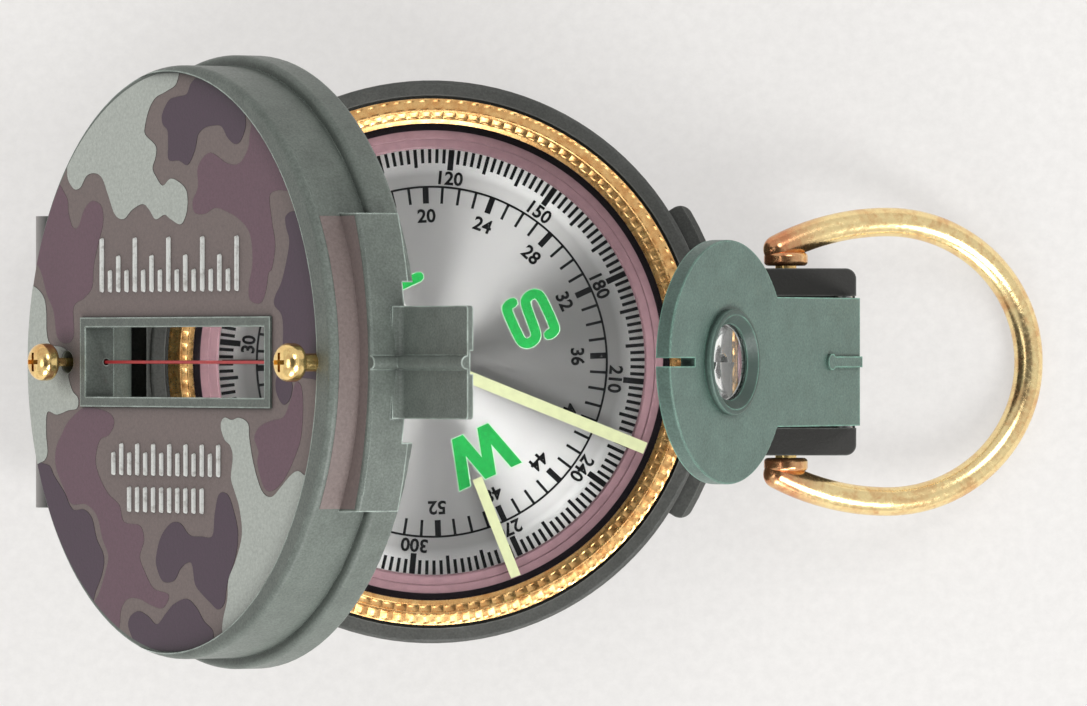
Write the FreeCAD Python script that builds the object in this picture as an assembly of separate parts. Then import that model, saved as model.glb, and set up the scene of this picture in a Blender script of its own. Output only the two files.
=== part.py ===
import FreeCAD, Part
import math
import os

# Sighting compass, lid and lens bracket raised, thumb loop lying out on the table.
# Millimetres. Origin at the centre of the case's underside, +X towards the thumb loop,
# +Z up. The lid and the bracket are modelled shut and then turned to where they stand.

# Driving dimensions --------------------------------------------------------------
CASE_R = 26.1
CASE_TOP = 16.6
CASE_FLOOR = 2.0
CAVITY_R = 22.6
BEZEL_SEAT_R = 24.7
BEZEL_SEAT_DEPTH = 2.2

LUG_R = 27.9
LUG_HALF_ANGLE = 32.5
LUG_BOTTOM = 3.0
LUG_TOP = 13.4

HINGE_BLOCK_X = -36.7
HINGE_BLOCK_HALF_WIDTH = 13.5
HINGE_BLOCK_BOTTOM = 4.0
HINGE_BLOCK_TOP = CASE_TOP + 1.5
HINGE_SLOT_HALF_WIDTH = 8.0
LID_AXIS_X = -30.25
LID_AXIS_Z = CASE_TOP - 1.4
LID_PIN_R = 1.0

CLEVIS_X = 39.3
CLEVIS_HALF_WIDTH = 8.65
CLEVIS_BOTTOM = 3.0
CLEVIS_SLOT_HALF_WIDTH = 6.1
LENS_AXIS_X = 38.2
LENS_AXIS_Z = CASE_TOP + 0.85
LENS_PIN_R = 0.8

LID_TOP = CASE_TOP + 9.3
LID_UPPER_R = 26.5
LID_LOWER_R = 27.5
LID_UPPER_DEPTH = 5.5
LID_DEPTH = 8.4
LID_WALL = 1.2
LID_FACE_RECESS = 0.5
LID_FACE_THICK = 1.4
FACE_R = 26.0
FACE_CENTRE_X = -2.0
FACE_FLUSH_X = -26.0
FACE_SLOPE = 1.09
LID_OPEN = 56.6

PANEL_FRONT = 28.3
PANEL_ARC_R = 38.0
PANEL_HALF_WIDTH = 13.0
PANEL_TOP_DEPTH = 2.9
PANEL_BOTTOM_DEPTH = 7.1
TAB_TIP = 39.0
TAB_HALF_WIDTH = 4.9
TAB_DEPTH = 5.9
TAB_THICK = 0.6
NOTCH_HALF_WIDTH = 7.0

WINDOW_REAR = -15.65
WINDOW_FRONT = 14.45
WINDOW_HALF_WIDTH = 3.15
WINDOW_FRAME = 0.88
WINDOW_FRAME_RISE = 0.25
WINDOW_TUNNEL_DEPTH = 3.0
WIRE_R = 0.15
WIRE_DEPTH = 2.15
REAR_POST_X = -19.1
FRONT_POST_X = 23.5
POST_HEAD_R = 1.7
POST_HEAD_HEIGHT = 2.05
POST_HEAD_LIFT = 2.0
POST_CROWN_R = 1.05
POST_RIM_R = 0.55
RECESS_HALF_WIDTH = 0.2
RECESS_HALF_LENGTH = 0.85
RECESS_DEPTH = 0.7

BRACKET_OPEN = 60.3
BRACKET_DISC_R = 11.0
BRACKET_DISC_REACH = 25.3
SHANK_HALF_WIDTH = 5.9
PLATE_LOW = 0.2
PLATE_HIGH = 1.65
BARREL_R = 1.5
BOSS_R = 4.75
BOSS_RISE = 0.75
BOSS_MOUTH_R = 4.25
LENS_OPENING_R = 3.45
LENS_SEAT_R = 3.95
SIGHT_SLOT = 0.75
SIGHT_SLOT_DEPTH = 4.6

LOOP_PIVOT_X = 33.0
LOOP_PIVOT_Z = 11.6
LOOP_WIRE_R = 1.35
LOOP_WIDEST_X = 10.7
LOOP_HALF_WIDTH = 13.1
LOOP_ROUND_LENGTH = 14.66
LOOP_EYE_R = 2.05
LOOP_EYE_INNER = 8.95
LOOP_EYE_OUTER = 10.2
LOOP_EYE_EDGE = 0.4
LOOP_END_X = -0.85
LOOP_END_Y = 10.5
LOOP_PIN_R = 1.0
LOOP_PIN_START = 5.0
LOOP_PIN_END = 9.9
LOOP_HOLE_END = 9.96
LOOP_DROOP = 23.8

BEZEL_R = 24.4
BEZEL_BORE_R = 22.1
BEZEL_TOP = CASE_TOP + 0.75
BEZEL_BOTTOM = CASE_TOP - 2.1
CRYSTAL_R = 22.9
CRYSTAL_TOP = CASE_TOP - 0.4
CRYSTAL_THICK = 0.8

INNER_CRYSTAL_TOP = CASE_TOP - 2.4
INNER_CRYSTAL_THICK = 0.8
INNER_CRYSTAL_R = 21.9
CUP_R = 22.0
CUP_WALL = 0.8
CARD_R = 19.9
CARD_TOP = CASE_TOP - 4.3
CARD_THICK = 0.3
RUNNING_GAP = 0.06


# Small helpers -------------------------------------------------------------------
def vec(x, y, z):
    return FreeCAD.Vector(x, y, z)


def box(x0, x1, y0, y1, z0, z1):
    return Part.makeBox(x1 - x0, y1 - y0, z1 - z0, vec(x0, y0, z0))


def disc(radius, z0, z1, x=0.0, y=0.0):
    return Part.makeCylinder(radius, z1 - z0, vec(x, y, z0))


def ring(outer, inner, z0, z1, x=0.0, y=0.0):
    return disc(outer, z0, z1, x, y).cut(disc(inner, z0 - 1, z1 + 1, x, y))


def cross_rod(radius, y0, y1, x, z):
    """A rod along Y."""
    return Part.makeCylinder(radius, y1 - y0, vec(x, y0, z), vec(0, 1, 0))


def turned_profile(points):
    """A solid of revolution about Z from (radius, height) points."""
    corners = [vec(radius, 0, height) for radius, height in points]
    outline = Part.makePolygon(corners + corners[:1])
    return Part.Face(outline).revolve(vec(0, 0, 0), vec(0, 0, 1), 360)


def side_profile(points, y0, y1):
    """A prism along Y from (x, z) points."""
    corners = [vec(x, y0, z) for x, z in points]
    outline = Part.makePolygon(corners + corners[:1])
    return Part.Face(outline).extrude(vec(0, y1 - y0, 0))


def fuse_all(shapes):
    whole = shapes[0]
    for shape in shapes[1:]:
        whole = whole.fuse(shape)
    return whole.removeSplitter()


def cut_all(shape, tools):
    for tool in tools:
        shape = shape.cut(tool)
    return shape


def soften(shape, radius, wanted):
    """Fillet the edges that the test picks."""
    edges = [edge for edge in shape.Edges if wanted(edge)]
    return shape.makeFillet(radius, edges)


def is_circle(edge, radius, z):
    curve = edge.Curve
    if curve.TypeId != "Part::GeomCircle":
        return False
    same_size = abs(curve.Radius - radius) < 1e-4
    return same_size and abs(curve.Center.z - z) < 1e-4


def is_line_at(edge, x, z):
    """A straight edge along Y at the given x and z."""
    ends = [vertex.Point for vertex in edge.Vertexes]
    if len(ends) != 2 or edge.Curve.TypeId != "Part::GeomLine":
        return False
    return all(abs(p.x - x) < 1e-4 and abs(p.z - z) < 1e-4 for p in ends)


def mirrored_pair(shape):
    return [shape, shape.mirror(vec(0, 0, 0), vec(0, 1, 0))]


def open_lid(shape):
    shape.rotate(vec(LID_AXIS_X, 0, LID_AXIS_Z), vec(0, 1, 0), -LID_OPEN)
    return shape


def raise_bracket(shape):
    shape.rotate(vec(LENS_AXIS_X, 0, LENS_AXIS_Z), vec(0, 1, 0), BRACKET_OPEN)
    return shape


def droop_loop(shape):
    shape.rotate(vec(LOOP_PIVOT_X, 0, LOOP_PIVOT_Z), vec(0, 1, 0), LOOP_DROOP)
    return shape


def save(name, shape):
    for solid in shape.Solids:
        if not solid.isValid():
            raise ValueError(name + " is not a valid solid")
    shape.exportStep(os.path.join("parts", name + ".step"))
    print(name, len(shape.Solids), round(shape.Volume, 2))


# Case ------------------------------------------------------------------------------
def hinge_block():
    """Block on the far side that carries the lid, with a slot for its knuckle."""
    block = box(HINGE_BLOCK_X, -20, -HINGE_BLOCK_HALF_WIDTH, HINGE_BLOCK_HALF_WIDTH,
                HINGE_BLOCK_BOTTOM, HINGE_BLOCK_TOP)
    block = soften(block, 2.6, lambda e: is_line_at(e, HINGE_BLOCK_X, HINGE_BLOCK_TOP))
    block = soften(block, 1.5, lambda e: is_line_at(e, HINGE_BLOCK_X, HINGE_BLOCK_BOTTOM))
    ear_front = -27.4
    knuckle_floor = LID_AXIS_Z - 2.8
    back_wall_x = -35.0
    back_wall_top = LID_AXIS_Z + 0.3
    side = HINGE_SLOT_HALF_WIDTH
    return cut_all(block, [
        box(ear_front, 0, -20, 20, CASE_TOP - 0.3, 30),
        box(back_wall_x, -26.4, -side, side, knuckle_floor, 30),
        box(-40, -26.4, -side, side, back_wall_top, 30),
    ])


def clevis_block():
    """Block on the near side: two ears with the bracket's shank between them."""
    top = LENS_AXIS_Z + BARREL_R
    block = box(20, CLEVIS_X, -CLEVIS_HALF_WIDTH, CLEVIS_HALF_WIDTH, CLEVIS_BOTTOM, top)
    corner_radius = 1.0
    block = block.makeFillet(corner_radius, [
        edge for edge in block.Edges
        if all(abs(vertex.Point.x - CLEVIS_X) < 1e-4 for vertex in edge.Vertexes)
        and edge.BoundBox.YLength < 1e-6
    ])
    ear_rear = 28.9
    slot_floor = LENS_AXIS_Z - BARREL_R - 0.25
    side = CLEVIS_SLOT_HALF_WIDTH
    return cut_all(block, [
        box(0, ear_rear, -20, 20, CASE_TOP - 0.3, 30),
        box(ear_rear - 1, 50, -side, side, slot_floor, 30),
    ])


def side_lug():
    """Thicker band low on the case's wall, either side of the clevis."""
    band = turned_profile([
        (CASE_R - 2, LUG_BOTTOM), (LUG_R - 0.8, LUG_BOTTOM), (LUG_R, LUG_BOTTOM + 0.8),
        (LUG_R, LUG_TOP - 0.5), (LUG_R - 0.5, LUG_TOP), (CASE_R - 2, LUG_TOP),
    ])
    spread = math.radians(LUG_HALF_ANGLE)
    reach = 40.0
    wedge = Part.Face(Part.makePolygon([
        vec(0, 0, 0),
        vec(reach, -reach * math.tan(spread), 0),
        vec(reach, reach * math.tan(spread), 0),
        vec(0, 0, 0),
    ])).extrude(vec(0, 0, 30))
    lug = band.common(wedge)
    end_x = LUG_R * math.cos(spread)
    return lug.makeFillet(1.2, [
        edge for edge in lug.Edges
        if edge.BoundBox.ZLength > 5 and edge.BoundBox.DiagonalLength < 12
        and abs(edge.CenterOfMass.x - end_x) < 0.5
    ])


def case_shell():
    body = disc(CASE_R, 0, CASE_TOP)
    body = soften(body, 1.0, lambda e: is_circle(e, CASE_R, 0))
    body = soften(body, 0.35, lambda e: is_circle(e, CASE_R, CASE_TOP))
    body = fuse_all([body, side_lug(), hinge_block(), clevis_block()])
    seat = CASE_TOP - BEZEL_SEAT_DEPTH
    body = cut_all(body, [
        disc(CAVITY_R, CASE_FLOOR, 40),
        disc(BEZEL_SEAT_R, seat, 40),
        cross_rod(LID_PIN_R, -20, 20, LID_AXIS_X, LID_AXIS_Z),
        cross_rod(LENS_PIN_R, -20, 20, LENS_AXIS_X, LENS_AXIS_Z),
        cross_rod(LOOP_PIN_R, LOOP_PIN_START, 20, LOOP_PIVOT_X, LOOP_PIVOT_Z),
        cross_rod(LOOP_PIN_R, -20, -LOOP_PIN_START, LOOP_PIVOT_X, LOOP_PIVOT_Z),
        click_spring_pocket(),
        detent_pocket(),
    ])
    underside_recess = ring(20.0, 17.5, -1, 0.5)
    return body.cut(underside_recess).removeSplitter()


def lid_hinge_pin():
    head = 0.4
    y_end = HINGE_BLOCK_HALF_WIDTH
    shaft = cross_rod(LID_PIN_R, -y_end, y_end, LID_AXIS_X, LID_AXIS_Z)
    left = cross_rod(LID_PIN_R + 0.4, -y_end - head, -y_end, LID_AXIS_X, LID_AXIS_Z)
    right = cross_rod(LID_PIN_R + 0.4, y_end, y_end + head, LID_AXIS_X, LID_AXIS_Z)
    return fuse_all([shaft, left, right])


def lens_hinge_pin():
    y_end = CLEVIS_HALF_WIDTH - 0.35
    return cross_rod(LENS_PIN_R, -y_end, y_end, LENS_AXIS_X, LENS_AXIS_Z)


def loop_pivot_pins():
    pin = cross_rod(LOOP_PIN_R, LOOP_PIN_START, LOOP_PIN_END, LOOP_PIVOT_X, LOOP_PIVOT_Z)
    return Part.makeCompound(mirrored_pair(pin))


def click_spring_pocket():
    seat = CASE_TOP - BEZEL_SEAT_DEPTH
    return box(-3.2, 3.2, -24.2, -23.0, seat - 1.0, seat + 0.01)


def bezel_click_spring():
    """Bowed leaf under the bezel: flat feet and a raised crown."""
    seat = CASE_TOP - BEZEL_SEAT_DEPTH
    low = seat - 1.0
    leaf = side_profile([
        (-3.1, low), (3.1, low), (3.1, low + 0.25), (1.8, low + 0.3), (0.5, seat - 0.1),
        (-0.5, seat - 0.1), (-1.8, low + 0.3), (-3.1, low + 0.25),
    ], -24.1, -23.1)
    return leaf


def detent_pocket():
    floor = LENS_AXIS_Z - BARREL_R - 0.25
    return box(36.9, 39.0, -2.6, 2.6, floor - 1.1, floor + 0.01)


def lens_detent_spring():
    """Leaf in the clevis floor that the bracket's barrel rubs on."""
    floor = LENS_AXIS_Z - BARREL_R - 0.25
    low = floor - 1.1
    return side_profile([
        (37.0, low), (38.9, low), (38.9, low + 0.3), (38.5, low + 0.35), (38.2, floor - 0.05),
        (37.7, floor - 0.05), (37.4, low + 0.35), (37.0, low + 0.3),
    ], -2.5, 2.5)


# Capsule -----------------------------------------------------------------------------
def capsule_cup():
    floor = CASE_FLOOR
    rim = INNER_CRYSTAL_TOP - INNER_CRYSTAL_THICK
    cup = disc(CUP_R, floor, rim)
    return cup.cut(disc(CUP_R - CUP_WALL, floor + CUP_WALL, rim + 1))


def pivot_post():
    low = CASE_FLOOR + CUP_WALL
    return turned_profile([
        (0, low), (3.0, low), (3.0, low + 0.8), (1.3, low + 1.6), (1.0, low + 5.0), (0, low + 5.0),
    ])


def pivot_needle():
    low = CASE_FLOOR + CUP_WALL + 5.0
    tip = CARD_TOP - 0.75
    return turned_profile([(0, low), (0.4, low), (0.4, tip - 1.0), (0.06, tip), (0, tip)])


def fixed_crystal():
    return disc(INNER_CRYSTAL_R, INNER_CRYSTAL_TOP - INNER_CRYSTAL_THICK, INNER_CRYSTAL_TOP)


def fixed_index_line():
    """Black line under the fixed crystal that the card is read against."""
    top = INNER_CRYSTAL_TOP - INNER_CRYSTAL_THICK
    return box(-19.5, -12.0, -0.2, 0.2, top - 0.06, top)


def chapter_ring():
    low = INNER_CRYSTAL_TOP
    return turned_profile([
        (19.8, low), (21.5, low), (21.5, low + 0.7), (20.8, low + 0.7), (20.7, low + 0.5),
        (20.0, low + 0.5), (19.8, low + 0.3),
    ])


def crystal_gasket():
    low = INNER_CRYSTAL_TOP
    return ring(22.4, 21.5, low, low + 0.8)


# Card ----------------------------------------------------------------------------------
def compass_card():
    return ring(CARD_R, 1.0, CARD_TOP - CARD_THICK, CARD_TOP)


def jewel_housing():
    top = CARD_TOP + 0.45
    low = CARD_TOP - 1.4
    return turned_profile([
        (0, top), (0.7, top), (1.0, top - 0.3), (1.0, CARD_TOP - CARD_THICK),
        (1.7, CARD_TOP - CARD_THICK), (1.7, low), (0.85, low), (0.85, CARD_TOP - 0.4),
        (0, CARD_TOP - 0.4),
    ])


def jewel():
    top = CARD_TOP - 0.4
    return turned_profile([
        (0, top), (0.85, top), (0.85, top - 0.7), (0.6, top - 0.7), (0.15, top - 0.3),
        (0, top - 0.3),
    ])


def bar_magnet():
    top = CARD_TOP - CARD_THICK
    return box(-2.6, 2.6, -13.0, 13.0, top - 1.0, top).cut(disc(1.7, top - 2, top + 1))


# Bezel ----------------------------------------------------------------------------------
def bezel_ring():
    return turned_profile([
        (CRYSTAL_R, BEZEL_BOTTOM), (BEZEL_R - 0.1, BEZEL_BOTTOM), (BEZEL_R, BEZEL_BOTTOM + 0.1),
        (BEZEL_R, CASE_TOP + 0.05), (23.5, BEZEL_TOP), (23.1, BEZEL_TOP),
        (22.6, CASE_TOP + 0.25), (BEZEL_BORE_R, CASE_TOP), (BEZEL_BORE_R, CRYSTAL_TOP),
        (CRYSTAL_R, CRYSTAL_TOP),
    ])


def bezel_crystal():
    return disc(CRYSTAL_R, CRYSTAL_TOP - CRYSTAL_THICK, CRYSTAL_TOP)


def bezel_retaining_ring():
    low = CRYSTAL_TOP - CRYSTAL_THICK
    return ring(CRYSTAL_R, CRYSTAL_R - 0.3, low - 0.5, low)


def luminous_bar(inner, outer, half_width, angle):
    bar = box(inner, outer, -half_width, half_width, CRYSTAL_TOP, CRYSTAL_TOP + 0.08)
    bar.rotate(vec(0, 0, 0), vec(0, 0, 1), angle)
    return bar


# Lid, modelled shut ----------------------------------------------------------------------
def lid_wall():
    upper_low = LID_TOP - LID_UPPER_DEPTH
    mouth = LID_TOP - LID_DEPTH
    body = turned_profile([
        (0, mouth), (LID_LOWER_R, mouth), (LID_LOWER_R, upper_low),
        (LID_UPPER_R, upper_low), (LID_UPPER_R, LID_TOP), (0, LID_TOP),
    ])
    body = soften(body, 0.6, lambda e: is_circle(e, LID_UPPER_R, LID_TOP))
    body = soften(body, 0.5, lambda e: is_circle(e, LID_LOWER_R, upper_low))
    body = soften(body, 0.35, lambda e: is_circle(e, LID_LOWER_R, mouth))
    return body


def front_panel():
    """Raised band on the free end's wall, square ended, with a flat tab under it."""
    low = LID_TOP - PANEL_BOTTOM_DEPTH
    high = LID_TOP - PANEL_TOP_DEPTH
    front = disc(PANEL_ARC_R, low, high, PANEL_FRONT - PANEL_ARC_R)
    front = soften(front, 0.3, lambda e: is_circle(e, PANEL_ARC_R, high))
    reach = box(10, 40, -PANEL_HALF_WIDTH, PANEL_HALF_WIDTH, 0, 40)
    return front.common(reach).cut(disc(LID_UPPER_R - 1, 0, 40))


def front_tab():
    top = LID_TOP - TAB_DEPTH
    tab = box(LID_LOWER_R - 1.5, TAB_TIP, -TAB_HALF_WIDTH, TAB_HALF_WIDTH, top - TAB_THICK, top)
    corner_radius = 0.3
    tab = tab.makeFillet(corner_radius, [
        edge for edge in tab.Edges
        if edge.BoundBox.ZLength > TAB_THICK / 2 and edge.BoundBox.XMin > TAB_TIP - 0.1
    ])
    return tab


def tab_root():
    """Concave sweep from the panel's front down onto the tab."""
    sweep_r = 0.8
    steps = 6
    top = LID_TOP - TAB_DEPTH
    start = PANEL_FRONT - 0.1
    curve = []
    for step in range(steps + 1):
        angle = math.radians(90.0 * step / steps)
        curve.append((start + sweep_r - sweep_r * math.sin(angle),
                      top + sweep_r - sweep_r * math.cos(angle)))
    back = start - 1.0
    return side_profile(curve + [(back, top + sweep_r), (back, top - 0.1), (start + sweep_r, top - 0.1)],
                        -TAB_HALF_WIDTH, TAB_HALF_WIDTH)


def centre_ridge():
    """Half-round ridge down the panel and out along the tab."""
    ridge_r = 0.6
    top = LID_TOP - TAB_DEPTH
    start = PANEL_FRONT - 0.4
    along = Part.makeCylinder(ridge_r, TAB_TIP - start, vec(start, 0, top), vec(1, 0, 0))
    panel_top = LID_TOP - PANEL_TOP_DEPTH
    down = Part.makeCylinder(ridge_r, panel_top - top, vec(PANEL_FRONT - 0.15, 0, top))
    keep = box(0, 60, -2, 2, top - 0.1, panel_top)
    return along.fuse(down).common(keep)


def along_face(shape):
    """Tip a shape to the face's slope: flush at the hinge side, sunk at the free end."""
    shape.rotate(vec(FACE_FLUSH_X, 0, LID_TOP), vec(0, 1, 0), FACE_SLOPE)
    return shape


def face_sinking():
    """Cutter for the face, off centre so that it leaves a crescent at the free end."""
    return along_face(disc(FACE_R, LID_TOP, LID_TOP + 3, FACE_CENTRE_X))


def window_frame():
    """Solid block of the sighting window's tunnel, proud of the face by its rim."""
    edge = WINDOW_FRAME
    block = box(WINDOW_REAR - edge, WINDOW_FRONT + edge, -WINDOW_HALF_WIDTH - edge,
                WINDOW_HALF_WIDTH + edge, LID_TOP - WINDOW_TUNNEL_DEPTH, LID_TOP + 1)
    above = box(WINDOW_REAR - 5, WINDOW_FRONT + 5, -10, 10, LID_TOP + WINDOW_FRAME_RISE, LID_TOP + 5)
    return block.cut(along_face(above))


def lid_knuckle():
    """Central barrel on the hinge pin and the web that joins it to the wall."""
    half = HINGE_SLOT_HALF_WIDTH - 0.3
    barrel_r = 2.4
    barrel = cross_rod(barrel_r, -half, half, LID_AXIS_X, LID_AXIS_Z)
    mouth = LID_TOP - LID_DEPTH
    web = side_profile([
        (LID_AXIS_X - 0.6, LID_AXIS_Z + 2.3), (LID_AXIS_X + 2.3, LID_AXIS_Z - 0.4),
        (-LID_LOWER_R, mouth), (-LID_LOWER_R + 3, mouth), (-LID_LOWER_R + 3, mouth + 3.2),
        (-LID_LOWER_R - 0.2, mouth + 3.2),
    ], -half, half)
    outside = web.cut(disc(LID_LOWER_R - LID_WALL / 2, 0, 40))
    return barrel.fuse(outside)


def lid_shell():
    roof = LID_TOP - LID_FACE_RECESS - LID_FACE_THICK
    mouth = LID_TOP - LID_DEPTH
    step = LID_TOP - LID_UPPER_DEPTH - LID_WALL
    body = fuse_all([lid_wall(), front_panel(), front_tab(), tab_root(), centre_ridge(),
                     lid_knuckle()])
    body = cut_all(body, [
        disc(LID_UPPER_R - LID_WALL, mouth - 3, roof),
        disc(LID_LOWER_R - LID_WALL, mouth - 3, step + LID_WALL),
        face_sinking(),
        box(20, 35, -NOTCH_HALF_WIDTH, NOTCH_HALF_WIDTH, 0, LID_TOP - TAB_DEPTH - TAB_THICK),
        box(25, 45, -1.0, 1.0, 0, LID_TOP - TAB_DEPTH - TAB_THICK + 0.3),
        cross_rod(LID_PIN_R + RUNNING_GAP, -20, 20, LID_AXIS_X, LID_AXIS_Z),
    ])
    body = body.fuse(window_frame())
    wire_z = LID_TOP - WIRE_DEPTH
    wire_hole = Part.makeCylinder(0.3, 36, vec(-18, 0, wire_z - 0.02), vec(1, 0, 0))
    body = cut_all(body, [
        box(WINDOW_REAR, WINDOW_FRONT, -WINDOW_HALF_WIDTH, WINDOW_HALF_WIDTH, mouth, 40),
        wire_hole,
        disc(1.0, roof - 1, 40, REAR_POST_X),
        disc(0.8, roof - 1, 40, FRONT_POST_X),
    ])
    return open_lid(body.removeSplitter())


def post_head(x, stem_r):
    """Domed head with a cross recess, standing clear of the face on its stem."""
    low = LID_TOP - LID_FACE_RECESS + POST_HEAD_LIFT
    top = low + POST_HEAD_HEIGHT
    head = disc(POST_HEAD_R, low, top, x)
    head = soften(head, POST_CROWN_R, lambda edge: edge.BoundBox.ZMin > top - 0.01)
    head = soften(head, POST_RIM_R, lambda edge: edge.BoundBox.ZMax < low + 0.01)
    half_width = RECESS_HALF_WIDTH
    half_length = RECESS_HALF_LENGTH
    floor = top - RECESS_DEPTH
    across = box(x - half_width, x + half_width, -half_length, half_length, floor, top + 1)
    along = box(x - half_length, x + half_length, -half_width, half_width, floor, top + 1)
    stem_low = LID_TOP - WIRE_DEPTH - 0.65
    stem = disc(stem_r, stem_low, low + 0.1, x)
    return cut_all(head, [across, along]).fuse(stem).removeSplitter()


def rear_wire_post():
    return open_lid(post_head(REAR_POST_X, 0.4))


def front_wire_post():
    return open_lid(post_head(FRONT_POST_X, 0.8))


def post_nuts():
    """Thin nuts inside the lid that clamp the two posts and the wire's ends."""
    roof = LID_TOP - LID_FACE_RECESS - LID_FACE_THICK
    rear = ring(1.6, 0.4, roof - 0.8, roof, REAR_POST_X)
    front = ring(1.02, 0.8, roof - 0.8, roof, FRONT_POST_X)
    return open_lid(Part.makeCompound([rear, front]))


def sighting_wire():
    start = REAR_POST_X + 1.6
    length = FRONT_POST_X - 1.02 - start
    wire = Part.makeCylinder(WIRE_R, length, vec(start, 0, LID_TOP - WIRE_DEPTH - 0.02), vec(1, 0, 0))
    return open_lid(wire)


# Lens bracket, modelled folded down -------------------------------------------------------
def lens_bracket():
    axis_x = LENS_AXIS_X
    low = LENS_AXIS_Z + PLATE_LOW
    high = LENS_AXIS_Z + PLATE_HIGH
    centre = axis_x - BRACKET_DISC_REACH
    plate = disc(BRACKET_DISC_R, low, high, centre)
    shank = box(centre, axis_x, -SHANK_HALF_WIDTH, SHANK_HALF_WIDTH, low, high)
    barrel = cross_rod(BARREL_R, -SHANK_HALF_WIDTH, SHANK_HALF_WIDTH, axis_x, LENS_AXIS_Z)
    flat = plate.fuse(shank).removeSplitter()
    flat = soften(flat, 0.12, lambda e: is_circle(e, BRACKET_DISC_R, high))
    boss = disc(BOSS_R, high - 0.1, high + BOSS_RISE, centre)
    boss = soften(boss, 0.25, lambda e: is_circle(e, BOSS_R, high + BOSS_RISE))
    rib_reach = 5.9
    rib = box(axis_x - rib_reach, axis_x, -0.5, 0.5, high - 0.3, high + 0.3)
    rib_end = disc(0.75, high - 0.3, high + 0.3, axis_x - rib_reach)
    body = fuse_all([flat, barrel, boss, rib, rib_end])
    tip = centre - BRACKET_DISC_R
    body = cut_all(body, [
        cross_rod(LENS_PIN_R + RUNNING_GAP, -20, 20, axis_x, LENS_AXIS_Z),
        disc(LENS_OPENING_R, low - 1, high + 2, centre),
        Part.makeCone(LENS_OPENING_R, BOSS_MOUTH_R, BOSS_RISE, vec(centre, 0, high)),
        disc(LENS_SEAT_R, low - 1, high - 0.2, centre),
        box(tip - 1, tip + SIGHT_SLOT_DEPTH, -SIGHT_SLOT / 2, SIGHT_SLOT / 2, low - 1, high + 1),
    ])
    return raise_bracket(body.removeSplitter())


def lens_cap(radius, rise, z, up):
    """Shallow spherical cap of the given rise on a disc of the given radius."""
    sphere_r = (radius ** 2 + rise ** 2) / (2 * rise)
    sign = 1 if up else -1
    ball = Part.makeSphere(sphere_r, vec(0, 0, z - sign * (sphere_r - rise)))
    keep = disc(radius, z, z + 1) if up else disc(radius, z - 1, z)
    return ball.common(keep)


def magnifier_lens():
    low = LENS_AXIS_Z + PLATE_LOW
    seat = LENS_AXIS_Z + PLATE_HIGH - 0.2
    edge_low = low + 0.35
    body = disc(LENS_SEAT_R, edge_low, seat)
    body = body.fuse(lens_cap(3.4, 0.4, seat, True)).fuse(lens_cap(3.2, 0.3, edge_low, False))
    body.translate(vec(LENS_AXIS_X - BRACKET_DISC_REACH, 0, 0))
    return raise_bracket(body.removeSplitter())


def lens_retaining_ring():
    low = LENS_AXIS_Z + PLATE_LOW
    centre = LENS_AXIS_X - BRACKET_DISC_REACH
    return raise_bracket(ring(LENS_SEAT_R, 3.3, low, low + 0.35, centre))


# Thumb loop, modelled level -----------------------------------------------------------------
def loop_path():
    """Two gently bowed arms, tangent to the half oval of the loop."""
    widest_x = LOOP_WIDEST_X
    half = LOOP_HALF_WIDTH
    run = widest_x - LOOP_END_X
    rise = half - LOOP_END_Y
    bow_r = (run ** 2 + rise ** 2) / (2 * rise)
    half_sweep = math.asin(run / bow_r) / 2
    middle_x = widest_x - bow_r * math.sin(half_sweep)
    middle_y = half - bow_r * (1 - math.cos(half_sweep))
    upper = Part.Arc(vec(LOOP_END_X, LOOP_END_Y, 0), vec(middle_x, middle_y, 0),
                     vec(widest_x, half, 0))
    oval = Part.Ellipse(vec(widest_x, 0, 0), LOOP_ROUND_LENGTH, half)
    half_oval = oval.toShape(-math.pi / 2, math.pi / 2)
    lower = Part.Arc(vec(LOOP_END_X, -LOOP_END_Y, 0), vec(middle_x, -middle_y, 0),
                     vec(widest_x, -half, 0))
    return Part.Wire(Part.__sortEdges__([upper.toShape(), half_oval, lower.toShape()]))


def thumb_loop():
    path = loop_path()
    start = vec(LOOP_END_X, LOOP_END_Y, 0)
    heading = path.Edges[0].tangentAt(path.Edges[0].FirstParameter)
    section = Part.Wire([Part.makeCircle(LOOP_WIRE_R, start, heading)])
    wire = path.makePipeShell([section], True, False)
    ends = mirrored_pair(Part.makeSphere(LOOP_WIRE_R, start))
    eye = cross_rod(LOOP_EYE_R, LOOP_EYE_INNER, LOOP_EYE_OUTER, 0, 0)
    eyes = mirrored_pair(soften(eye, LOOP_EYE_EDGE, lambda edge: edge.BoundBox.YLength < 0.01))
    holes = mirrored_pair(cross_rod(LOOP_PIN_R + RUNNING_GAP, 8.0, LOOP_HOLE_END, 0, 0))
    body = cut_all(fuse_all([wire] + ends + eyes), holes)
    body.translate(vec(LOOP_PIVOT_X, 0, LOOP_PIVOT_Z))
    return droop_loop(body.removeSplitter())


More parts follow.
